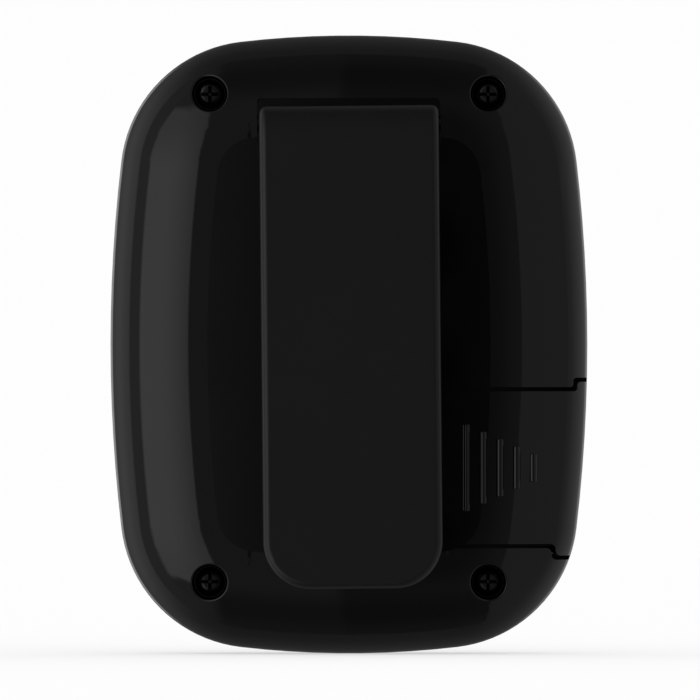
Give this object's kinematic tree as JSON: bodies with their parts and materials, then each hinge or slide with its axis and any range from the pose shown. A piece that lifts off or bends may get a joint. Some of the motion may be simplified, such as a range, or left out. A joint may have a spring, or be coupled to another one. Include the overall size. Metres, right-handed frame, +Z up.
{
  "type": "pocket chess clock",
  "caption": "Pocket digital chess clock in a rounded black case, with a display and player keys in front and a sprung belt clip and sliding battery door behind.",
  "frame": {"origin": "middle of the lowest point of the case, under the centre of the whole object's box", "axes": "+Z up the case, +X to the right as seen from the front, +Y from the display to the belt clip"},
  "size_m": [0.0632, 0.0248, 0.0819],
  "materials": {
    "case_black": "polished black ABS",
    "clip_black": "satin black nylon with a fine spark-eroded grain",
    "black_steel": "black-plated steel",
    "hinge_steel": "drawn steel wire and rod",
    "cell_steel": "nickel-plated steel",
    "seal_plastic": "translucent grey polypropylene",
    "contact_nickel": "nickel-plated phosphor bronze",
    "lens_clear": "clear acrylic window",
    "adhesive_black": "double-sided adhesive film",
    "polariser": "grey polarising film",
    "lcd_glass": "thin display glass",
    "frame_white": "white moulded plastic",
    "zebra_rubber": "banded conductive rubber",
    "board_green": "glass-epoxy board with solder mask",
    "carbon_print": "printed carbon",
    "epoxy_black": "potted epoxy",
    "crystal_can": "tin-plated can",
    "ceramic_tan": "fired ceramic",
    "resistor_black": "glazed thick film",
    "keypad_grey": "silicone rubber",
    "carbon_rubber": "carbon-loaded silicone",
    "buzzer_brass": "rolled brass",
    "piezo_white": "silvered piezo ceramic",
    "key_ivory": "ivory ABS",
    "key_black": "black ABS",
    "key_grey": "grey ABS"
  },
  "bodies": {
    "case": {"back_shell": "case_black", "front_shell": "case_black", "clip_pin": "black_steel", "clip_spring": "hinge_steel", "case_screws": "black_steel", "battery_can": "cell_steel", "battery_cap": "cell_steel", "battery_seal": "seal_plastic", "battery_contact_negative": "contact_nickel", "battery_contact_positive": "contact_nickel", "display_lens": "lens_clear", "lens_adhesive": "adhesive_black", "lcd_front_polariser": "polariser", "lcd_rear_polariser": "polariser", "lcd_front_glass": "lcd_glass", "lcd_rear_glass": "lcd_glass", "lcd_frame": "frame_white", "zebra_strips": "zebra_rubber", "main_board": "board_green", "board_contact_pads": "carbon_print", "controller_blob": "epoxy_black", "quartz_crystal": "crystal_can", "board_capacitors": "ceramic_tan", "board_resistors": "resistor_black", "board_screws": "hinge_steel", "rubber_keypad": "keypad_grey", "buzzer_disc": "buzzer_brass", "buzzer_ceramic": "piezo_white", "buzzer_springs": "hinge_steel"},
    "clip": {"belt_clip": "clip_black"},
    "door": {"battery_door": "case_black"},
    "player_key_left": {"player_key_left": "key_ivory", "player_pill_left": "carbon_rubber"},
    "player_key_right": {"player_key_right": "key_black", "player_pill_right": "carbon_rubber"},
    "mode_key": {"mode_key": "key_grey", "mode_pill": "carbon_rubber"},
    "start_key": {"start_key": "key_grey", "start_pill": "carbon_rubber"},
    "set_key": {"set_key": "key_grey", "set_pill": "carbon_rubber"}
  },
  "joints": [
    {"name": "clip_pivot", "type": "hinge", "parent": "case", "child": "clip", "pos_m": [0, 0.0036, 0.0702], "axis": [1, 0, 0], "range_deg": [0, 14], "stiffness_Nm_per_rad": 0.4, "springref_deg": -20.05, "deforming": ["clip_spring"]},
    {"name": "door_slide", "type": "slide", "parent": "case", "child": "door", "axis": [-1, 0, 0], "range_m": [0, 0.0215]},
    {"name": "player_key_left_press", "type": "slide", "parent": "case", "child": "player_key_left", "axis": [0, 1, 0], "range_m": [0, 0.001], "stiffness_N_per_m": 500, "springref_m": -0.002, "deforming": ["rubber_keypad"]},
    {"name": "player_key_right_press", "type": "slide", "parent": "case", "child": "player_key_right", "axis": [0, 1, 0], "range_m": [0, 0.001], "stiffness_N_per_m": 500, "springref_m": -0.002, "deforming": ["rubber_keypad"]},
    {"name": "mode_key_press", "type": "slide", "parent": "case", "child": "mode_key", "axis": [0, 1, 0], "range_m": [0, 0.001], "stiffness_N_per_m": 400, "springref_m": -0.002, "deforming": ["rubber_keypad"]},
    {"name": "start_key_press", "type": "slide", "parent": "case", "child": "start_key", "axis": [0, 1, 0], "range_m": [0, 0.001], "stiffness_N_per_m": 400, "springref_m": -0.002, "deforming": ["rubber_keypad"]},
    {"name": "set_key_press", "type": "slide", "parent": "case", "child": "set_key", "axis": [0, 1, 0], "range_m": [0, 0.001], "stiffness_N_per_m": 400, "springref_m": -0.002, "deforming": ["rubber_keypad"]}
  ]
}
